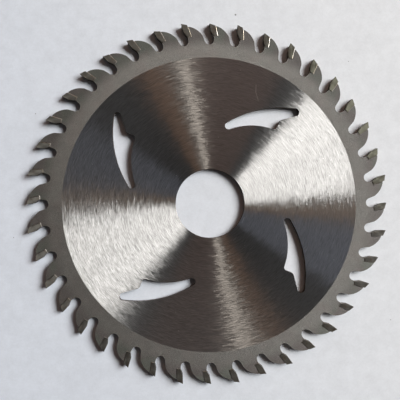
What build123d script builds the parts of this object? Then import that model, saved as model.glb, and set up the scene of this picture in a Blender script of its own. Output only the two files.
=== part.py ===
"""Circular saw blade with brazed carbide tips, lying flat.

The origin is the centre of the bore on the plate's mid-plane, +Z is the bore axis, and the cutting
corner of the first tip lies on +X. The tooth faces point anticlockwise. All sizes are millimetres
and degrees.
"""
from build123d import *
from math import acos, atan2, cos, degrees, hypot, radians, sin, sqrt, tan
import os

# Blade
blade_diameter = 105.0
bore_diameter = 20.0
plate_thickness = 1.2
kerf = 1.8
tooth_count = 40

# Carbide tip, measured along its face from the cutting corner and square to it into the tooth
hook_angle = 10.0
relief_angle = 16.0
bevel_angle = 12.0
tip_length = 4.15
tip_thickness = 1.6
face_length = 2.45
toe_cut = 0.67
inward_taper = 1.5
backward_taper = 2.5

# Brazed joint between a tip and its seat
braze_thickness = 0.15

# Tooth body and gullet
shoulder_drop = 1.0
shoulder_land = 0.4
gullet_depth = 6.4
gullet_radius = 1.33
gullet_shift = 0.0
flank_angle = 22.2
flank_length = 1.95
back_radius = 6.0
back_blend = 1.5

# Cooling slot, in a frame whose X axis runs outwards at the slot's azimuth
slot_count = 4
slot_azimuth = 54.9
slot_inner_end = (21.66, 8.49)
slot_outer_end = (36.22, -5.37)
slot_end_radius = 1.09
slot_outer_radius = 30.4
slot_inner_radius = 18.9
slot_notch_crest = (31.6, -2.9)
slot_notch_corner = (28.55, -3.65)
slot_notch_blend = 1.0

blade_radius = blade_diameter / 2
shoulder_radius = blade_radius - shoulder_drop
root_radius = blade_radius - gullet_depth
pitch_angle = 360 / tooth_count
cut_clearance = 1.0


def step(point, angle, distance):
    """The point at a distance from another, in a direction given in degrees."""
    return (
        point[0] + distance * cos(radians(angle)),
        point[1] + distance * sin(radians(angle)),
    )


def tooth_point(inward, into):
    """A point of the tooth, from its cutting corner inwards along the face and into the tooth."""
    on_face = step((blade_radius, 0), 180 + hook_angle, inward)
    return step(on_face, hook_angle - 90, into)


def rim_point(into):
    """Where the line parallel to the tip's face, at a depth into the tooth, meets the plate's rim."""
    start = tooth_point(0, into)
    along = start[0] * cos(radians(hook_angle)) + start[1] * sin(radians(hook_angle))
    across = hypot(*start) ** 2 - along**2
    return step(start, hook_angle, sqrt(shoulder_radius**2 - across) - along)


def tangent_angle(point, centre, radius, side):
    """The angle on a circle where a line from a point touches it, on the side given by +1 or -1."""
    away = hypot(point[0] - centre[0], point[1] - centre[1])
    towards = degrees(atan2(point[1] - centre[1], point[0] - centre[0]))
    return towards + side * degrees(acos(radius / away))


def arc_centre(start, end, radius):
    """The centre of the arc that turns clockwise from start to end."""
    chord = hypot(end[0] - start[0], end[1] - start[1])
    heading = degrees(atan2(end[1] - start[1], end[0] - start[0]))
    middle = step(start, heading, chord / 2)
    return step(middle, heading - 90, sqrt(radius**2 - (chord / 2) ** 2))


def gap_profile():
    """The gap before one tooth, with the seat of that tooth's tip, cut from the blank."""
    seat_depth = tip_thickness + braze_thickness
    seat_rim = rim_point(seat_depth)
    seat_outside = step(seat_rim, hook_angle, shoulder_drop + cut_clearance)
    seat_heel = tooth_point(tip_length + braze_thickness, seat_depth)
    seat_toe = tooth_point(tip_length + braze_thickness, toe_cut)

    gullet_centre = (root_radius + gullet_radius, gullet_shift)
    front_angle = tangent_angle(seat_toe, gullet_centre, gullet_radius, -1)
    gullet_front = step(gullet_centre, front_angle, gullet_radius)
    gullet_bottom = step(gullet_centre, 180, gullet_radius)
    gullet_back = step(gullet_centre, 90 + flank_angle, gullet_radius)

    back_foot = step(gullet_back, flank_angle, flank_length)
    land_angle = degrees(shoulder_land / shoulder_radius)
    shoulder_angle = pitch_angle + degrees(atan2(seat_rim[1], seat_rim[0])) - land_angle
    shoulder = step((0, 0), shoulder_angle, shoulder_radius)
    shoulder_outside = step((0, 0), shoulder_angle, blade_radius + cut_clearance)

    with BuildSketch() as profile:
        with BuildLine():
            Polyline(seat_outside, seat_heel, seat_toe, gullet_front)
            ThreePointArc(gullet_front, gullet_bottom, gullet_back)
            Line(gullet_back, back_foot)
            RadiusArc(back_foot, shoulder, -back_radius)
            Polyline(shoulder, shoulder_outside, seat_outside)
        make_face()
        fillet(profile.vertices().sort_by_distance(back_foot)[0], back_blend)
    return profile.sketch


def slot_profile():
    """A curved cooling slot with round ends and a notch in its inner edge."""
    spine_centre = arc_centre(slot_inner_end, slot_outer_end, slot_outer_radius - slot_end_radius)
    inner_heading = degrees(atan2(slot_inner_end[1] - spine_centre[1], slot_inner_end[0] - spine_centre[0]))
    outer_heading = degrees(atan2(slot_outer_end[1] - spine_centre[1], slot_outer_end[0] - spine_centre[0]))
    outer_start = step(slot_inner_end, inner_heading, slot_end_radius)
    outer_end = step(slot_outer_end, outer_heading, slot_end_radius)

    ramp_angle = tangent_angle(slot_notch_crest, slot_outer_end, slot_end_radius, 1)
    ramp_foot = step(slot_outer_end, ramp_angle, slot_end_radius)
    far_tip = step(slot_outer_end, (outer_heading + ramp_angle - 360) / 2, slot_end_radius)

    inner_end = step(slot_inner_end, inner_heading + 180, slot_end_radius)
    near_tip = step(slot_inner_end, inner_heading + 90, slot_end_radius)

    with BuildSketch() as profile:
        with BuildLine():
            RadiusArc(outer_start, outer_end, slot_outer_radius)
            ThreePointArc(outer_end, far_tip, ramp_foot)
            Polyline(ramp_foot, slot_notch_crest, slot_notch_corner)
            RadiusArc(slot_notch_corner, inner_end, -slot_inner_radius)
            ThreePointArc(inner_end, near_tip, outer_start)
        make_face()
        fillet(profile.vertices().sort_by_distance(slot_notch_crest)[0], slot_notch_blend)
        fillet(profile.vertices().sort_by_distance(slot_notch_corner)[0], slot_notch_blend)
    return profile.sketch


def make_plate():
    """The steel plate, with its bore, slots, gullets and tip seats."""
    gap = gap_profile()
    slot = slot_profile()
    with BuildPart() as plate:
        with BuildSketch():
            Circle(shoulder_radius)
            Circle(bore_diameter / 2, mode=Mode.SUBTRACT)
            with PolarLocations(0, tooth_count):
                add(gap, mode=Mode.SUBTRACT)
            with PolarLocations(0, slot_count, start_angle=slot_azimuth):
                add(slot, mode=Mode.SUBTRACT)
        extrude(amount=plate_thickness / 2, both=True)
    return plate.part


def make_braze():
    """The thin L of braze that fills one seat, behind and under the tip."""
    seat_depth = tip_thickness + braze_thickness
    with BuildPart() as braze:
        with BuildSketch():
            with BuildLine():
                Polyline(
                    rim_point(seat_depth),
                    tooth_point(tip_length + braze_thickness, seat_depth),
                    tooth_point(tip_length + braze_thickness, toe_cut),
                    tooth_point(tip_length, toe_cut),
                    tooth_point(tip_length, tip_thickness),
                    rim_point(tip_thickness),
                    close=True,
                )
            make_face()
        extrude(amount=plate_thickness / 2, both=True)
    return braze.part


def make_tip(high_side):
    """A carbide tip with its high corner on the upper side (+1) or the lower side (-1)."""
    corner = (blade_radius, 0, high_side * kerf / 2)
    back_drop = Vector(-tan(radians(relief_angle)), -1, 0)
    side_drop = Vector(-tan(radians(bevel_angle)), 0, -high_side)
    top_plane = Plane(origin=corner, z_dir=back_drop.cross(side_drop) * high_side)

    inward = Vector(-cos(radians(hook_angle)), -sin(radians(hook_angle)), 0)
    backward = Vector(sin(radians(hook_angle)), -cos(radians(hook_angle)), 0)
    with BuildPart() as tip:
        with BuildSketch():
            with BuildLine():
                Polyline(
                    tooth_point(-cut_clearance, 0),
                    tooth_point(face_length, 0),
                    tooth_point(tip_length, toe_cut),
                    tooth_point(tip_length, tip_thickness),
                    tooth_point(-cut_clearance, tip_thickness),
                    close=True,
                )
            make_face()
        extrude(amount=kerf / 2, both=True)
        split(bisect_by=top_plane, keep=Keep.BOTTOM)
        for side in (1, -1):
            lean = Vector(0, 0, side)
            slope = inward * tan(radians(inward_taper)) + backward * tan(radians(backward_taper))
            side_plane = Plane(origin=(blade_radius, 0, side * kerf / 2), z_dir=lean + slope)
            split(bisect_by=side_plane, keep=Keep.BOTTOM)
    return tip.part


def place_braze(braze):
    """The braze of every tooth, as separate pieces in one group."""
    with BuildPart() as joints:
        with PolarLocations(0, tooth_count):
            add(braze)
    return joints.part


os.makedirs("parts", exist_ok=True)

plate = make_plate()
plate.label = "plate"
export_step(plate, "parts/plate.step")

braze_joints = place_braze(make_braze())
braze_joints.label = "braze_joints"
export_step(braze_joints, "parts/braze_joints.step")

lower_tip = make_tip(-1)
upper_tip = make_tip(1)
for number in range(tooth_count):
    master = upper_tip if number % 2 else lower_tip
    tip = master.rotate(Axis.Z, number * pitch_angle)
    tip.label = f"tip_{number + 1:02d}"
    export_step(tip, f"parts/{tip.label}.step")
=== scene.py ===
# %% [markdown]
# A circular saw blade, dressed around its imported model.
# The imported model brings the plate, the forty carbide tips and the brazed joints, at their real
# size and place. This script gives them their looks: ground and blasted steel, sintered carbide,
# braze. Everything is in metres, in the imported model's own frame. The blade lies flat, its bore
# axis is Z, and the plate's mid-plane is at zero height.

import math

import bpy
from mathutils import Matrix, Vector


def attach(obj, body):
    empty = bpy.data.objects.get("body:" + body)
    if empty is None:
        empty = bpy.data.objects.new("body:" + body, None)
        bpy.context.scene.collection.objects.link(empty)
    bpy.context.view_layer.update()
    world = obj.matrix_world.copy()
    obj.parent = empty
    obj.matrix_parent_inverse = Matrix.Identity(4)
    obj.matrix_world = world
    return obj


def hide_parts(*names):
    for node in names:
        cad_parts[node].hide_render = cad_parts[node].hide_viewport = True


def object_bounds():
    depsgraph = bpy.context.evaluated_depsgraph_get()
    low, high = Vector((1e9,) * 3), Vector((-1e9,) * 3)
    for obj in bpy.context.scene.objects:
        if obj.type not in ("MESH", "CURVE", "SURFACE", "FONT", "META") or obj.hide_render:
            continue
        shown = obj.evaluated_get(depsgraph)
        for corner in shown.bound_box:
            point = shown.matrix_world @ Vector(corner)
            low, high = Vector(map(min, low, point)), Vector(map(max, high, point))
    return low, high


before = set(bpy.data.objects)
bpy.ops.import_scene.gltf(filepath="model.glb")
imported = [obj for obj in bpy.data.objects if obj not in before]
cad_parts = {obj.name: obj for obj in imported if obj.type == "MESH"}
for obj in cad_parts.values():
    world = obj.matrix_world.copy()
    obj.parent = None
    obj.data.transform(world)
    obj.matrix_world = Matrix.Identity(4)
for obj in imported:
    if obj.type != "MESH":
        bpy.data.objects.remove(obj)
cad_low, cad_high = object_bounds()
MM = 0.001
print("blade", [round(size / MM, 2) for size in cad_high - cad_low], "mm")

# %% [markdown]
# The camera comes first, because it decides how much of each piece is seen. It looks down on the
# blade from a hand's breadth above, a little to the left of the bore and slightly tilted, like a
# phone held over a table. A focal length as long as the sensor is wide gives the strong perspective
# of such a close view.

# %% Camera
CAMERA_PLACE = (-8.677 * MM, 0.600 * MM, 116.185 * MM)
CAMERA_TURN = (0.2255, -2.8218, -0.3273)

bpy.ops.object.camera_add(location=CAMERA_PLACE)
camera = bpy.context.object
camera.name = "camera"
camera.rotation_mode = "YXZ"
camera.rotation_euler = [math.radians(angle) for angle in CAMERA_TURN]
camera.data.lens = 36.0
camera.data.sensor_width = 36.0
camera.data.clip_start = 0.001
bpy.context.scene.camera = camera
print("camera", [round(part / MM, 1) for part in CAMERA_PLACE], "mm")

# %% [markdown]
# A carbide tip starts as a pressed and sintered block. The factory brazes it into its seat and then
# grinds it: the toe below the face, the top with its relief and its bevel to one side, and the two
# sides, which taper inwards and backwards so that only the corners rub. The same steps work here. A
# cube gets the size of the block, and each grinding wheel is one bisect that throws away what
# stands out beyond a plane and closes the cut. The bench frame is in millimetres, because Blender's
# edge operators have tolerances that suit pieces of that size. Its origin is the cutting corner,
# X points outwards from the bore, and Y points the way the tooth looks.

# %% Bench frame of one tooth
BLADE_RADIUS = 52.5
TOOTH_COUNT = 40
HOOK = math.radians(10.0)
TIP_LENGTH = 4.15
TIP_THICKNESS = 1.6
KERF = 1.8

up_the_face = Vector((math.cos(HOOK), math.sin(HOOK), 0.0))
off_the_face = Vector((-math.sin(HOOK), math.cos(HOOK), 0.0))


def tooth_point(inward, into, height=0.0):
    """A point of the tooth, from the cutting corner inwards along its face and into the tooth."""
    return -inward * up_the_face - into * off_the_face + Vector((0.0, 0.0, height))


print("a pitch of", 360.0 / TOOTH_COUNT, "degrees, a hook of", round(math.degrees(HOOK)), "degrees")

# %% A block, and a grinding wheel
def block(length, thickness, height, middle):
    """A closed block that lies along the tooth's face, with its place in its mesh."""
    bpy.ops.object.select_all(action="DESELECT")
    bpy.ops.mesh.primitive_cube_add(
        size=1.0, location=middle, rotation=(0.0, 0.0, HOOK), scale=(length, thickness, height)
    )
    bpy.ops.object.transform_apply(location=True, rotation=True, scale=True)
    return bpy.context.object


def grind(point, off_the_cut):
    """Throws away what the active piece has beyond a plane, and closes the cut."""
    bpy.ops.object.mode_set(mode="EDIT")
    bpy.ops.mesh.select_all(action="SELECT")
    bpy.ops.mesh.bisect(
        plane_co=point, plane_no=Vector(off_the_cut).normalized(), use_fill=True, clear_outer=True,
        threshold=1e-5,
    )
    bpy.ops.object.mode_set(mode="OBJECT")


def apply_modifier(piece, kind, **settings):
    """Adds a modifier, sets it and applies it."""
    modifier = piece.modifiers.new(kind.lower(), kind)
    for name, setting in settings.items():
        setattr(modifier, name, setting)
    bpy.ops.object.modifier_apply(modifier=modifier.name)


print("bench tools: block, grind, apply_modifier")

# %% [markdown]
# Five cuts make the tip. The wheel leaves its edges keen but not glassy, so a very fine bevel goes
# over them at the end. It is what catches a thread of light along an edge. The faces stay flat, and
# only the bevel itself is shaded smooth.

# %% Grind one tip of each bevel
FACE_LENGTH = 2.45
TOE_CUT = 0.67
RELIEF = math.radians(16.0)
BEVEL = math.radians(12.0)
INWARD_TAPER = math.radians(1.5)
BACKWARD_TAPER = math.radians(2.5)
BLOCK_EXTRA = 1.0
EDGE_ROUNDING = 0.035


def ground_tip(high_side):
    """A tip whose high corner is on the upper side (+1) or the lower side (-1)."""
    tip = block(
        TIP_LENGTH + BLOCK_EXTRA, TIP_THICKNESS, KERF,
        tooth_point((TIP_LENGTH - BLOCK_EXTRA) / 2, TIP_THICKNESS / 2),
    )
    toe_slope = (TIP_LENGTH - FACE_LENGTH) * off_the_face - TOE_CUT * up_the_face
    grind(tooth_point(FACE_LENGTH, 0.0), toe_slope)
    grind((0.0, 0.0, high_side * KERF / 2), (1.0, -math.tan(RELIEF), -high_side * math.tan(BEVEL)))
    taper = -math.tan(INWARD_TAPER) * up_the_face - math.tan(BACKWARD_TAPER) * off_the_face
    for side in (1, -1):
        grind((0.0, 0.0, side * KERF / 2), Vector((0.0, 0.0, side)) + taper)
    apply_modifier(tip, "BEVEL", width=EDGE_ROUNDING, segments=2, limit_method="ANGLE",
                   angle_limit=math.radians(15.0))
    bpy.ops.object.shade_smooth_by_angle(angle=math.radians(20.0))
    return tip


tip_masters = {1: ground_tip(1), -1: ground_tip(-1)}
print("a tip has", len(tip_masters[1].data.polygons), "faces")

# %% [markdown]
# Every second tooth has its high corner on the other side, so the two ground tips take turns round
# the blade. Each copy has its own mesh. Scaling from millimetres to metres, moving out to the
# cutting circle and turning round the bore are all applied to that mesh, so the finished object
# sits at the origin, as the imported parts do.

# %% Copy a tip to every tooth
def copy_of(master):
    """A copy of a bench piece with its own mesh, selected and active."""
    bpy.ops.object.select_all(action="DESELECT")
    master.select_set(True)
    bpy.context.view_layer.objects.active = master
    bpy.ops.object.duplicate(linked=False)
    return bpy.context.object


def copy_to_tooth(master, number, name):
    """A copy of a bench piece, scaled to metres and set at a tooth."""
    turn = math.radians(360.0 / TOOTH_COUNT * number)
    piece = copy_of(master)
    piece.name = name
    piece.scale = (MM, MM, MM)
    piece.rotation_euler = (0.0, 0.0, turn)
    piece.location = Vector((math.cos(turn), math.sin(turn), 0.0)) * BLADE_RADIUS * MM
    bpy.ops.object.transform_apply(location=True, rotation=True, scale=True)
    return piece


tips = []
for number in range(TOOTH_COUNT):
    master = tip_masters[1 if number % 2 else -1]
    tip = copy_to_tooth(master, number, f"carbide_tip_{number + 1:02d}")
    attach(tip, "root")
    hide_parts(f"tip_{number + 1:02d}")
    tips.append(tip)
for master in tip_masters.values():
    bpy.data.objects.remove(master)
print(len(tips), "tips")

# %% [markdown]
# Braze runs into the narrow joint behind and under each tip while it is liquid. What is left over
# sets as a small bead in the corner where the tip stands proud of the plate, and as a drop where
# the joint ends in the gullet. Faces and points have to be picked for that, so two small helpers
# select them by where they are and which way they look.

# %% Pick faces and points
def select_faces(piece, wanted):
    """Selects, in edit mode, the faces that a test on their middle and normal picks."""
    bpy.ops.mesh.select_mode(type="FACE")
    bpy.ops.mesh.select_all(action="DESELECT")
    bpy.ops.object.mode_set(mode="OBJECT")
    for face in piece.data.polygons:
        face.select = wanted(face.center, face.normal)
    bpy.ops.object.mode_set(mode="EDIT")


def select_points(piece, wanted):
    """Selects, in edit mode, the vertices that a test on their place picks."""
    bpy.ops.mesh.select_mode(type="VERT")
    bpy.ops.mesh.select_all(action="DESELECT")
    bpy.ops.object.mode_set(mode="OBJECT")
    for point in piece.data.vertices:
        point.select = wanted(point.co)
    bpy.ops.object.mode_set(mode="EDIT")


def extrude(move):
    """Extrudes the selected faces along a vector."""
    bpy.ops.mesh.extrude_region_move(TRANSFORM_OT_translate={"value": move})


def into_tooth(place):
    """How deep a place lies behind the tooth's face."""
    return -place.dot(off_the_face)


def inwards(place):
    """How far a place lies inwards from the cutting corner, along the face."""
    return -place.dot(up_the_face)


print("more bench tools: select_faces, select_points, extrude")

# %% [markdown]
# A block starts as the joint behind the tip. Extruding its inner end, and then that end's side,
# makes the L. On both sides of the plate the top of the L is extruded once to the steel, where its
# outer edge is pushed out into a foot, and once more to the bead's height, where that edge is drawn
# back over the joint. The inner edges are sunk in the tip, so the bead leans against it like a
# fillet. Subdivision rounds it later, as surface tension does.

# %% One bead of braze
JOINT = 0.15
HALF_PLATE = 0.6
BACK_FOOT = 0.10
TOE_FOOT = 0.06
BEAD_HEIGHT = 0.67
FOOT_DEPTH = 0.1
PULL_BACK = 1.2
RIM_INWARD = 1.2
SUNK = 0.12
DROP = 0.12
CLOSE = 0.01


def braze_bead():
    """The L of braze round one tip, with its beads on both sides of the plate."""
    back = JOINT + SUNK
    length = TIP_LENGTH - SUNK - RIM_INWARD
    bead = block(
        length, back, 2 * (HALF_PLATE - FOOT_DEPTH),
        tooth_point(RIM_INWARD + length / 2, TIP_THICKNESS - SUNK + back / 2),
    )
    bpy.ops.object.mode_set(mode="EDIT")
    select_faces(bead, lambda middle, normal: normal.dot(up_the_face) < -0.9)
    extrude(-back * up_the_face)
    select_faces(bead, lambda middle, normal: normal.dot(off_the_face) > 0.9
                 and inwards(middle) > TIP_LENGTH - SUNK)
    extrude((TIP_THICKNESS - TOE_CUT - SUNK + DROP) * off_the_face)
    for side in (1, -1):
        select_faces(bead, lambda middle, normal: normal.z * side > 0.9)
        extrude((0.0, 0.0, side * FOOT_DEPTH))
        select_points(bead, lambda place: place.z * side > HALF_PLATE - CLOSE
                      and into_tooth(place) > TIP_THICKNESS + JOINT - CLOSE)
        bpy.ops.transform.translate(value=-BACK_FOOT * off_the_face)
        select_points(bead, lambda place: place.z * side > HALF_PLATE - CLOSE
                      and inwards(place) > TIP_LENGTH + JOINT - CLOSE)
        bpy.ops.transform.translate(value=-TOE_FOOT * up_the_face)
        select_faces(bead, lambda middle, normal: normal.z * side > 0.9)
        extrude((0.0, 0.0, side * (BEAD_HEIGHT - HALF_PLATE)))
        select_points(bead, lambda place: place.z * side > BEAD_HEIGHT - CLOSE
                      and into_tooth(place) > TIP_THICKNESS + JOINT + CLOSE)
        bpy.ops.transform.translate(value=PULL_BACK * BACK_FOOT * off_the_face)
        select_points(bead, lambda place: place.z * side > BEAD_HEIGHT - CLOSE
                      and inwards(place) > TIP_LENGTH + JOINT + CLOSE)
        bpy.ops.transform.translate(value=PULL_BACK * TOE_FOOT * up_the_face)
    bpy.ops.mesh.select_all(action="SELECT")
    bpy.ops.mesh.subdivide(number_cuts=1)
    bpy.ops.object.mode_set(mode="OBJECT")
    bpy.ops.object.shade_smooth()
    return bead


bead_master = braze_bead()
print("a bead starts with", len(bead_master.data.polygons), "faces")

# %% [markdown]
# No two beads set alike. Each copy has its points pushed about by a few hundredths of a millimetre,
# from a seed that is the tooth's number, before it is rounded. The forty beads are one piece, as
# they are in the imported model.

# %% Set the beads round the blade
BEAD_UNEVENNESS = 0.035

beads = []
for number in range(TOOTH_COUNT):
    uneven = copy_of(bead_master)
    bpy.ops.object.mode_set(mode="EDIT")
    bpy.ops.mesh.select_all(action="SELECT")
    bpy.ops.transform.vertex_random(offset=BEAD_UNEVENNESS, uniform=0.0, normal=0.0, seed=number)
    bpy.ops.object.mode_set(mode="OBJECT")
    apply_modifier(uneven, "SUBSURF", levels=1, render_levels=1)
    beads.append(copy_to_tooth(uneven, number, f"bead_{number + 1:02d}"))
    bpy.data.objects.remove(uneven)
bpy.data.objects.remove(bead_master)

bpy.ops.object.select_all(action="DESELECT")
for bead in beads:
    bead.select_set(True)
bpy.context.view_layer.objects.active = beads[0]
bpy.ops.object.join()
braze = bpy.context.object
braze.name = "braze_beads"
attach(braze, "root")
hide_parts("braze_joints")
print("the beads have", len(braze.data.polygons), "faces together")

# %% [markdown]
# A node tree is easier to read as sums than as a wiring diagram. This small class wraps one output
# socket, and each arithmetic sign on it adds the Math node that does the sum. Numbers that meet
# only numbers stay plain Python.

# %% Sums on shader sockets
class Value:
    """An output socket of a node tree that takes part in Python sums."""

    def __init__(self, tree, socket):
        self.tree = tree
        self.socket = socket

    def node(self, kind, settings=None, inputs=None, output=0):
        """Adds a node of any type, gives it its settings and its inputs, and returns one output."""
        made = self.tree.nodes.new(kind)
        for name, setting in (settings or {}).items():
            setattr(made, name, setting)
        for name, given in (inputs or {}).items():
            if isinstance(given, Value):
                self.tree.links.new(given.socket, made.inputs[name])
            else:
                made.inputs[name].default_value = given
        return Value(self.tree, made.outputs[output])

    def math(self, operation, first, second=0.0):
        """Adds a Math node."""
        return self.node("ShaderNodeMath", {"operation": operation}, {0: first, 1: second})

    def __add__(self, other):
        return self.math("ADD", self, other)

    def __radd__(self, other):
        return self.math("ADD", other, self)

    def __sub__(self, other):
        return self.math("SUBTRACT", self, other)

    def __rsub__(self, other):
        return self.math("SUBTRACT", other, self)

    def __mul__(self, other):
        return self.math("MULTIPLY", self, other)

    def __rmul__(self, other):
        return self.math("MULTIPLY", other, self)


def step_up(value, start, end):
    """Rises smoothly from 0 at start to 1 at end."""
    return value.node(
        "ShaderNodeMapRange",
        {"interpolation_type": "SMOOTHSTEP"},
        {"Value": value, "From Min": start, "From Max": end},
    )


print("sockets take part in sums")

# %% [markdown]
# Colours and directions have three parts, so they go through Vector Math and Mix. Noise is the
# other raw material: values around one half that never repeat, from which grain, clouds, stains and
# streaks are made by stretching and cutting them off.

# %% Colours, directions and noise
def vector(operation, first, second=(0.0, 0.0, 0.0), output=0):
    """Vector Math on a direction socket, with a second direction that may be constant."""
    return first.node(
        "ShaderNodeVectorMath", {"operation": operation}, {0: first, 1: second}, output
    )


def scaled(direction, amount):
    """A direction or colour times a number, where one of the two is a socket."""
    socket = direction if isinstance(direction, Value) else amount
    return socket.node(
        "ShaderNodeVectorMath", {"operation": "SCALE"}, {0: direction, "Scale": amount}
    )


def opaque(colour):
    """A constant colour with its fourth part, and a socket as it is."""
    return (*colour, 1.0) if isinstance(colour, tuple) else colour


def mix(factor, first, second):
    """A colour between two colours."""
    return factor.node(
        "ShaderNodeMix", {"data_type": "RGBA"},
        {"Factor": factor, "A": opaque(first), "B": opaque(second)}, 2,
    )


def noise(place, scale, detail=2.0, roughness=0.5):
    """Soft random values around one half."""
    return place.node(
        "ShaderNodeTexNoise", {},
        {"Vector": place, "Scale": scale, "Detail": detail, "Roughness": roughness},
    )


def flattened(place):
    """A place without its height."""
    return vector("MULTIPLY", place, (1.0, 1.0, 0.0))


def distance_to(place, centre):
    """How far a place is from a point of the blade's flat side, in mm."""
    return vector("LENGTH", vector("SUBTRACT", flattened(place), (*centre, 0.0)), output=1)


print("shader tools: vector, scaled, mix, noise, distance_to")

# %% [markdown]
# Every material starts the same way: an empty tree and the surface's own place, turned into
# millimetres so that the sizes below can be read like the drawing's. It ends the same way too.

# %% Start and finish a material
def new_material(name, swatch):
    """A material with an empty node tree, and its surface's place in millimetres."""
    material = bpy.data.materials.new(name)
    material.diffuse_color = (*swatch, 1.0)
    material.use_nodes = True
    tree = material.node_tree
    tree.nodes.clear()
    coordinates = tree.nodes.new("ShaderNodeTexCoord")
    return material, scaled(Value(tree, coordinates.outputs["Object"]), 1.0 / MM)


def principled(place, **inputs):
    """A Principled shader; an underscore in a name stands for a space."""
    named = {name.replace("_", " "): given for name, given in inputs.items()}
    named["Base Color"] = opaque(named["Base Color"])
    return place.node("ShaderNodeBsdfPrincipled", {}, named)


def blend(place, factor, first, second):
    """One shader over another."""
    return place.node("ShaderNodeMixShader", {}, {0: factor, 1: first, 2: second})


def finish_with(material, shader):
    """Wires a shader to the material's output."""
    output = material.node_tree.nodes.new("ShaderNodeOutputMaterial")
    material.node_tree.links.new(shader.socket, output.inputs["Surface"])
    return material


def surface_normal(place):
    """The way the surface looks, in the node tree of a place."""
    return Value(place.tree, place.tree.nodes.new("ShaderNodeNewGeometry").outputs["Normal"])


def dress(piece, material):
    """Gives every slot of a piece one finish."""
    if not piece.material_slots:
        piece.data.materials.append(material)
    for slot in piece.material_slots:
        slot.material = material


print("materials measure in mm,", round(1.0 / MM), "to the metre")

# %% [markdown]
# A wheel that ran round and round ground the middle of the plate, and its centre was a few tenths
# of a millimetre beside the bore's. Everything about that finish is told by the radius from the
# wheel's centre and by the directions outwards and along the circle. Streaks are noise drawn out
# along the circle: low fineness along it, high fineness across it.

# %% Round the grinding centre
GROUND_RADIUS = 42.7
GROUND_CENTRE = (0.35, -0.3, 0.0)


def round_the_centre(place):
    """The place from the grinding centre, its radius, and the directions outwards and along."""
    flat = flattened(vector("SUBTRACT", place, GROUND_CENTRE))
    outwards = vector("NORMALIZE", flat)
    along = vector("CROSS_PRODUCT", outwards, (0.0, 0.0, -1.0))
    return flat, vector("LENGTH", flat, output=1), outwards, along


def streaks(flat, rings, along, across, detail=2.0):
    """Noise around zero drawn out round the blade, with its fineness both ways per mm."""
    depth = flat.node("ShaderNodeCombineXYZ", {}, {"Z": rings * across})
    return noise(vector("ADD", scaled(flat, along), depth), 1.0, detail, 0.6) - 0.5


def facing(direction, azimuth):
    """How far a direction, or a place in mm, reaches towards an azimuth in degrees."""
    turn = math.radians(azimuth)
    return vector("DOT_PRODUCT", direction, (math.cos(turn), math.sin(turn), 0.0), 1)


print("ground out to a radius of", GROUND_RADIUS, "mm")

# %% [markdown]
# Each grinding scratch is a little groove, and its two flanks face outwards and inwards by some
# twenty-six degrees. Together they throw an upright lamp back as a bright wedge that reaches from
# the bore to the rim, on the near and on the far side of the bore. One lobe of the Principled
# shader per flank does that, each with its normal leant over and strong anisotropy. The shader's
# own direction already runs round the middle of the piece, and a quarter turn lays the highlight
# across the scratches.

# %% Both flanks of the scratches
FLANK = 0.49
ACROSS_THE_SCRATCHES = 0.25


def two_flanks(place, outwards, along, lean_out, lean_along, spiral, **finish):
    """Two lobes half and half, one for each flank of the circular scratches."""
    lobes = []
    for flank in (FLANK, -FLANK):
        normal = vector("ADD", surface_normal(place), scaled(along, spiral * flank + lean_along))
        normal = vector("NORMALIZE", vector("ADD", normal, scaled(outwards, flank + lean_out)))
        lobes.append(principled(
            place, Anisotropic_Rotation=ACROSS_THE_SCRATCHES, Normal=normal, **finish
        ))
    return blend(place, 0.5, *lobes)


print("each flank leans", round(math.degrees(math.atan(FLANK))), "degrees")

# %% [markdown]
# Handling leaves its own traces on bright steel: a long hair-thin scratch beside the upper slot, a
# few short ones near the bore and some specks of dust. The steel's colour is lighter on the
# scratches, a painted glint where they catch the light, and on the specks, as dust is. A scratch
# is told by how far a place is from the straight line between its two ends. The specks come from a
# Voronoi texture with very large cells, of which only the middles are kept.

# %% Scratches and dust
SCRATCHES = (
    ((13.6, 34.5), (13.5, 32.4)), ((13.5, 32.4), (14.2, 30.0)),
    ((9.9, -4.1), (9.2, -5.6)), ((7.7, -9.7), (6.7, -10.7)),
)
SCRATCH_CORE = 0.03
SCRATCH_EDGE = 0.13
DUST_CELLS = 0.06
DUST_CORE = 0.004
DUST_EDGE = 0.010


def scratch(place, start, end):
    """1 on a straight scratch between two points, and 0 elsewhere."""
    run = Vector((*end, 0.0)) - Vector((*start, 0.0))
    from_start = vector("SUBTRACT", flattened(place), (*start, 0.0))
    share = vector("DOT_PRODUCT", from_start, run / run.length_squared, 1)
    share = share.math("MINIMUM", share.math("MAXIMUM", share, 0.0), 1.0)
    away = vector("LENGTH", vector("SUBTRACT", from_start, scaled(tuple(run), share)), output=1)
    return 1.0 - step_up(away, SCRATCH_CORE, SCRATCH_EDGE)


def dust(place):
    """1 on a few scattered specks, and 0 elsewhere."""
    away = place.node(
        "ShaderNodeTexVoronoi", {"voronoi_dimensions": "2D"}, {"Vector": place, "Scale": DUST_CELLS}
    )
    return 1.0 - step_up(away, DUST_CORE, DUST_EDGE)


print(len(SCRATCHES), "scratches")
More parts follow.
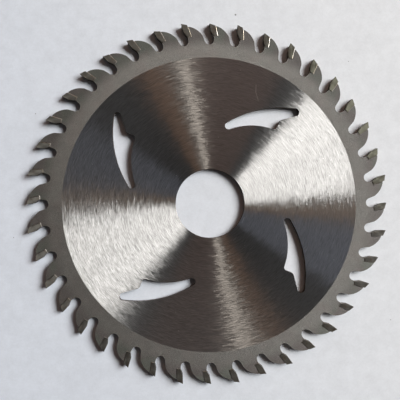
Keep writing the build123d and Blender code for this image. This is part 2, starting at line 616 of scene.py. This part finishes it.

# %% [markdown]
# Three sizes of streaks make the ground steel: broad ones that swing the light a little, hairs that
# are seen one by one, and a fine sheen. Wavering rings let some hairs cross others at a small
# angle. Each hair has its own tone and its own lean outwards. Where one family of hairs leans along
# the circle, the other leans back, and that frays both edges of a wedge. The wheel also drifted
# outwards as it turned, which turns the wedges slightly with the radius. The steel's colour grows a
# little lighter towards the rim: painted light that sets how bright the mirrored wedges are at each
# radius.

# %% Ground steel
STEEL = (0.2745, 0.2695, 0.2608)
MIDDLE_OF_GROUND = 27.0
SPIRAL = 0.0021
WAVER = 0.8
OTHER_WAVER = 1.6
ELSEWHERE = (40.0, 90.0, 0.0)
HAIR_TONE = 0.85
FINE_TONE = 0.5
HAIR_LEAN = 0.3
FINE_LEAN = 0.45
BROAD_SWING = 0.03
FRAYING = 0.175
FRAYING_LOST_PER_MM = 0.0008
PAINTED_LIGHT_AT_CENTRE = 0.785
PAINTED_LIGHT_PER_MM = 0.0065
GLINT_AND_DUST_TONE = 0.9


def ground_steel(place, flat, radius, outwards, along):
    """Bright steel with fine circular scratches."""
    rings = radius + (noise(place, 0.25) - 0.5) * WAVER
    other_rings = radius + (noise(vector("ADD", place, ELSEWHERE), 0.3) - 0.5) * OTHER_WAVER
    broad = streaks(flat, rings, along=0.12, across=1.4)
    some = streaks(flat, rings, along=0.3, across=6.5)
    others = streaks(flat, other_rings, along=0.45, across=8.0)
    hairs = some + others
    fine = streaks(flat, rings, along=0.9, across=9.0)
    # Painted glints on the scratches and real dust on the specks lighten the steel's colour.
    glints_and_dust = sum((scratch(place, *ends) for ends in SCRATCHES), 0.0) + dust(place)
    # Painted light: the steel's colour grows lighter with the radius.
    tone = PAINTED_LIGHT_AT_CENTRE + radius * PAINTED_LIGHT_PER_MM
    shade = (1.0 - hairs * HAIR_TONE - fine * FINE_TONE) * tone * (1.0 + glints_and_dust * GLINT_AND_DUST_TONE)
    fraying = FRAYING - radius * FRAYING_LOST_PER_MM
    return two_flanks(
        place, outwards, along,
        lean_out=hairs * HAIR_LEAN + fine * FINE_LEAN,
        lean_along=broad * BROAD_SWING + (some - others) * fraying,
        spiral=(MIDDLE_OF_GROUND - radius) * SPIRAL,
        Base_Color=scaled(STEEL, shade), Metallic=1.0, Roughness=0.31, Anisotropic=1.0,
    )


# %% [markdown]
# Outside a sharp circle the rim was blasted with grit, so it is matt grey and covered with dents
# far smaller than a pixel, each leaning its own way. It mirrors the window a little. Its colour
# carries painted light and shade round the blade: lighter across the line towards the window,
# darker on that line, and darkest on the window's side. The teeth are darker than the ring inside
# them, with painted shade that deepens it at the top and upper left, and they are tinted in patches
# of brown and grey-green.

# %% Blasted steel
DENTS_PER_MM = 20.0
DENT_LEAN = 0.28
GRAIN_TONE = 0.3
CLOUD_TONE = 0.4
LAMP_SIDE = 20.0
PAINTED_RIM_LIGHT = 1.275
PAINTED_RIM_SHADE = 0.265
PAINTED_RIM_SHADE_LAMP_SIDE = 0.095
TEETH_START = 45.0
TEETH_FULLY = 49.0
TEETH_DARKER = 0.22
TEETH_SHADE_SIDE = 100.0
TEETH_SHADE = 0.26


def blasted_steel(place, radius, outwards):
    """Matt grey steel with a fine grain, faint clouds, darker teeth and painted light and shade."""
    grain = noise(place, 2.2, 3.0, 0.6) - 0.5
    clouds = noise(place, 0.35, 3.0, 0.6) - 0.5
    dents = place.node(
        "ShaderNodeTexNoise", {}, {"Vector": place, "Scale": DENTS_PER_MM, "Detail": 0.0}, 1
    )
    dents = vector("NORMALIZE", flattened(vector("SUBTRACT", dents, (0.5, 0.5, 0.5))))
    normal = vector("NORMALIZE", vector("ADD", surface_normal(place), scaled(dents, DENT_LEAN)))
    # Painted light and shade: the rim's colour is lighter across the line to the window, darker on
    # it.
    side = facing(outwards, LAMP_SIDE)
    tone = PAINTED_RIM_LIGHT - side * PAINTED_RIM_SHADE_LAMP_SIDE - side * side * PAINTED_RIM_SHADE
    # The teeth are darker than the ring, and painted shade deepens it towards the top and upper
    # left.
    dark_teeth = TEETH_DARKER + step_up(facing(outwards, TEETH_SHADE_SIDE), -0.1, 0.9) * TEETH_SHADE
    dark_teeth = step_up(radius, TEETH_START, TEETH_FULLY) * dark_teeth
    shade = (1.0 + grain * GRAIN_TONE + clouds * CLOUD_TONE) * tone * (1.0 - dark_teeth)
    warm = step_up(noise(place, 0.22), 0.4, 0.65)
    ring = mix(warm, (0.150, 0.146, 0.134), (0.150, 0.141, 0.130))
    green = step_up(noise(place, 0.16, 1.0), 0.42, 0.6)
    teeth = mix(green, (0.150, 0.137, 0.128), (0.142, 0.148, 0.129))
    tint = mix(step_up(radius, TEETH_START + 1.0, TEETH_FULLY), ring, teeth)
    return principled(
        place, Base_Color=scaled(tint, shade), Metallic=0.5, Roughness=0.58 + clouds * 0.1,
        Anisotropic=0.5, Normal=normal,
    )


print("dents of", 1.0 / DENTS_PER_MM, "mm")

# %% [markdown]
# The walls of the bore, slots and gullets were cut by a laser. It leaves brown scale with fine
# upright lines. A wall is found by its normal, which lies flat, so the plate needs only one
# material and no extra pieces.

# %% Cut walls, and the whole plate
CUT_LINES = (7.0, 7.0, 0.7)
CUT_DEPTH = 0.03 * MM
RIM_EDGE = 0.06


def cut_wall(place):
    """The brown scale on a laser-cut wall, with its fine upright lines."""
    lines = noise(vector("MULTIPLY", place, CUT_LINES), 1.0) - 0.5
    bump = place.node(
        "ShaderNodeBump", {}, {"Strength": 0.4, "Distance": CUT_DEPTH, "Height": lines}
    )
    colour = mix(step_up(lines, -0.15, 0.2), (0.035, 0.024, 0.017), (0.085, 0.062, 0.045))
    return principled(place, Base_Color=colour, Metallic=0.5, Roughness=0.55, Normal=bump)


def plate_finish():
    """Ground middle, blasted rim and cut walls in one material."""
    material, place = new_material("plate_steel", (0.45, 0.44, 0.42))
    flat, radius, outwards, along = round_the_centre(place)
    rim = step_up(radius, GROUND_RADIUS - RIM_EDGE, GROUND_RADIUS + RIM_EDGE)
    sides = blend(
        place, rim, ground_steel(place, flat, radius, outwards, along),
        blasted_steel(place, radius, outwards),
    )
    upright = place.node("ShaderNodeSeparateXYZ", {}, {"Vector": surface_normal(place)}, 2)
    wall = 1.0 - step_up(upright.math("ABSOLUTE", upright), 0.4, 0.7)
    return finish_with(material, blend(place, wall, sides, cut_wall(place)))


dress(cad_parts["plate"], plate_finish())
print("plate finished")

# %% [markdown]
# Sintered carbide is a dark grey with a hint of olive. Its sides are ground along the cut, so they
# catch the lamp like the plate does, but less and more softly. Brown stains from the brazing heat
# lie on it. Its colour also carries painted light and shade round the blade: a painted sheen makes
# the tips towards the window lighter and more olive and those away from it darker, the tips on the
# line across the window are painted a little lighter than their neighbours, a few at the left get
# a painted highlight, and a few at the lower left painted shade.

# %% Carbide
TIP_SHEEN_SIDE = 34.0
CROSS_LINE = 131.0
TIP_HIGHLIGHT_SIDE = 192.0
TIP_SHADE_SIDE = 245.0
TIP_TONE = 0.71
PAINTED_TIP_SHEEN = 0.19
PAINTED_TIP_LIGHT_ACROSS = 0.255
PAINTED_TIP_HIGHLIGHT = 0.16
PAINTED_TIP_SHADE = 0.15
OLIVE = (0.116, 0.114, 0.078)


def carbide_finish():
    """Dark ground carbide with faint stains, and painted light and shade round the blade."""
    material, place = new_material("ground_carbide", (0.12, 0.115, 0.1))
    flat, radius, outwards, along = round_the_centre(place)
    lines = streaks(flat, radius, along=0.6, across=5.0)
    stains = step_up(noise(place, 0.9, 3.0), 0.5, 0.72)
    colour = mix(stains, (0.118, 0.112, 0.096), (0.106, 0.087, 0.067))
    # Painted sheen: lighter and more olive towards the window, darker away from it.
    sheen_side = facing(outwards, TIP_SHEEN_SIDE)
    colour = mix(step_up(sheen_side, 0.7, 1.0) * 0.8, colour, OLIVE)
    # Painted light across the window's line, a painted highlight at the left, painted shade lower
    # left.
    crossing = facing(outwards, CROSS_LINE)
    tone = TIP_TONE + sheen_side * PAINTED_TIP_SHEEN + crossing * crossing * PAINTED_TIP_LIGHT_ACROSS
    tone = tone + step_up(facing(outwards, TIP_HIGHLIGHT_SIDE), 0.86, 1.0) * PAINTED_TIP_HIGHLIGHT
    tone = tone - step_up(facing(outwards, TIP_SHADE_SIDE), 0.8, 1.0) * PAINTED_TIP_SHADE
    shade = (1.0 + lines * 0.4) * tone
    return finish_with(material, two_flanks(
        place, outwards, along, lean_out=lines * 0.3, lean_along=lines * 0.03, spiral=0.0,
        Base_Color=scaled(colour, shade), Metallic=0.6, Roughness=0.5, Anisotropic=0.6,
    ))


carbide = carbide_finish()
for tip in tips:
    dress(tip, carbide)
for number in range(1, TOOTH_COUNT + 1):
    dress(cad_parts[f"tip_{number:02d}"], carbide)
print("carbide finished")

# %% [markdown]
# Silver braze sets bright where it is clean, and turns to straw where the heat stayed longer. On
# such small beads the light does most of the work: only the slopes that mirror the window shine.
# The beads' colour is kept at half its value, with a painted highlight on a few beads at the top
# and painted shade on those on the window's side. Patches of duller skin are rougher.

# %% Braze
BRAZE_TONE = 0.5
BRAZE_HIGHLIGHT_SIDE = 84.0
PAINTED_BRAZE_HIGHLIGHT = 0.3
BRAZE_SHADE_SIDE = 20.0
PAINTED_BRAZE_SHADE = 0.22


def braze_finish():
    """Bright silver braze with straw stains, rougher patches, and painted highlight and shade."""
    material, place = new_material("silver_braze", (0.7, 0.66, 0.6))
    outwards = round_the_centre(place)[2]
    heat = step_up(noise(place, 0.25), 0.42, 0.62)
    dull = step_up(noise(place, 2.5), 0.45, 0.7)
    colour = mix(heat, (0.52, 0.49, 0.45), (0.40, 0.35, 0.28))
    # Painted highlight on the beads at the top, painted shade on those on the window's side.
    tone = BRAZE_TONE + step_up(facing(outwards, BRAZE_HIGHLIGHT_SIDE), 0.9, 0.99) * PAINTED_BRAZE_HIGHLIGHT
    tone = tone - step_up(facing(outwards, BRAZE_SHADE_SIDE), 0.6, 0.95) * PAINTED_BRAZE_SHADE
    return finish_with(material, principled(
        place, Base_Color=scaled(colour, tone), Metallic=1.0, Roughness=0.3 + dull * 0.2,
    ))


dress(braze, braze_finish())
dress(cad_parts["braze_joints"], braze.material_slots[0].material)
print("braze finished")

# %% [markdown]
# The blade lies on pale paper. The floor is a disc at the height of the lowest tip corner. The
# paper has soft clouds, a finer mottling of its fibres and a few dark specks, of which the largest
# lies beyond the top of the blade. Its colour carries painted light and shade: lighter and warmer
# towards the window, darker and cooler away from it.

# %% Floor
FLOOR_RADIUS = 2.0
SPECKS = (
    ((7.9, 55.6), 0.30), ((-50.1, 26.1), 0.16), ((41.8, 42.2), 0.14),
    ((54.1, -35.2), 0.15), ((-56.4, -9.4), 0.14),
)
PAPER_IN_PAINTED_SHADE = (0.708, 0.760, 0.838)
PAPER_IN_PAINTED_LIGHT = (0.769, 0.793, 0.820)
PAINTED_LIGHT_SPREAD = 75.0
PAPER_CLOUDS = 0.09
PAPER_FIBRES = 0.34
SPECK_TONE = 0.7


def speck(place, centre, size):
    """1 on a round speck of the paper, and 0 elsewhere."""
    return 1.0 - step_up(distance_to(place, centre), size * 0.5, size * 1.2)


def paper_finish():
    """Pale paper with painted light towards the window and painted shade away from it."""
    material, place = new_material("pale_paper", (0.77, 0.79, 0.81))
    clouds = noise(place, 0.05, 4.0, 0.6) - 0.5
    fibres = noise(place, 0.3, 5.0, 0.85) - 0.5
    specks = sum((speck(place, *found) for found in SPECKS), 0.0)
    # Painted light and shade: lighter and warmer towards the window, darker and cooler away.
    warm = step_up(facing(place, LAMP_SIDE), -PAINTED_LIGHT_SPREAD, PAINTED_LIGHT_SPREAD)
    colour = mix(warm, PAPER_IN_PAINTED_SHADE, PAPER_IN_PAINTED_LIGHT)
    shade = (1.0 + clouds * PAPER_CLOUDS + fibres * PAPER_FIBRES) * (1.0 - specks * SPECK_TONE)
    return finish_with(material, principled(
        place, Base_Color=scaled(colour, shade), Roughness=0.85,
    ))


bpy.ops.object.select_all(action="DESELECT")
bpy.ops.mesh.primitive_circle_add(
    vertices=96, radius=FLOOR_RADIUS, fill_type="NGON", location=(0.0, 0.0, cad_low.z)
)
floor = bpy.context.object
floor.name = "floor"
bpy.ops.object.transform_apply(location=True, rotation=True, scale=True)
dress(floor, paper_finish())
print("floor at", round(cad_low.z / MM, 2), "mm")

# %% [markdown]
# The light is a window with two panes to the right and the dim room round it. Circular scratches
# mirror an upright lamp as a wedge as wide as the lamp is, so the panes' width is chosen for the
# wedge and their height for the length and the softness of the shadows. A narrow gap of light
# further round gives the thin streak. Faint warm and cool cards stand for the window's frame and
# the walls of the room, which tint the dark parts of the steel. To keep the shadows on the paper
# deep, three of these lamps are only mirrored, and give matt surfaces no light.

# %% Lamps
LAMPS_AWAY = 1.7
DAYLIGHT = (1.0, 0.99, 0.975)


def upright_lamp(name, azimuth, width, low, high, energy, colour, only_mirrored=False):
    """An area lamp that stands upright at an azimuth in degrees and faces the blade."""
    turn = math.radians(azimuth)
    bpy.ops.object.light_add(
        type="AREA",
        location=(LAMPS_AWAY * math.cos(turn), LAMPS_AWAY * math.sin(turn), (low + high) / 2),
        rotation=(math.radians(90), 0, turn + math.radians(90)),
    )
    lamp = bpy.context.object
    lamp.name = name
    lamp.data.shape = "RECTANGLE"
    lamp.data.size = width
    lamp.data.size_y = high - low
    lamp.data.energy = energy
    lamp.data.color = colour
    lamp.visible_diffuse = not only_mirrored


upright_lamp("window_first_pane", 12.3, 0.60, 0.65, 1.80, 38.9, DAYLIGHT)
upright_lamp("window_second_pane", 32.8, 0.60, 0.65, 1.80, 42.3, DAYLIGHT)
upright_lamp("brown_wall", 74.0, 1.1, 0.4, 1.6, 2.6, (1.0, 0.6, 0.47))
upright_lamp("warm_card", 108.0, 0.35, 0.6, 2.3, 1.6, (1.0, 0.48, 0.22))
upright_lamp("gap", 94.6, 0.03, 0.9, 3.1, 9.8, (1.0, 0.9, 0.8), only_mirrored=True)
upright_lamp("window_frame", 355.7, 0.2, 0.5, 1.8, 1.1, (1.0, 0.62, 0.36), only_mirrored=True)
upright_lamp("cool_card", 339.5, 0.75, 0.5, 1.4, 2.7, (0.72, 0.79, 1.0), only_mirrored=True)

# %% [markdown]
# The room itself is a dim, slightly warm glow from all sides. Seen directly or mirrored, it is pale
# near the horizon instead, so the blade stands before a plain light backdrop from any side.

# %% Room
ROOM = (0.036, 0.031, 0.030)
HORIZON = (0.74, 0.76, 0.79)
BACKDROP_FADES = 0.22
BACKDROP_ENDS = 0.34

world = bpy.context.scene.world or bpy.data.worlds.new("room")
bpy.context.scene.world = world
world.use_nodes = True
tree = world.node_tree
direction = Value(tree, tree.nodes.new("ShaderNodeTexCoord").outputs["Generated"])
height = direction.node("ShaderNodeSeparateXYZ", {}, {"Vector": direction}, 2)
low_down = 1.0 - step_up(height, BACKDROP_FADES, BACKDROP_ENDS)
rays = tree.nodes.new("ShaderNodeLightPath").outputs
kinds = ("Camera", "Glossy", "Transmission")
seen = sum((Value(tree, rays[f"Is {kind} Ray"]) for kind in kinds), 0.0)
backdrop = mix(low_down * seen.math("MINIMUM", seen, 1.0), ROOM, HORIZON)
tree.links.new(backdrop.socket, tree.nodes["Background"].inputs["Color"])
tree.nodes["Background"].inputs["Strength"].default_value = 1.0
print("room and horizon")

# %% [markdown]
# Last comes the plain view transform, which shows a colour about as it is written.

# %% View
bpy.context.scene.view_settings.view_transform = "Standard"
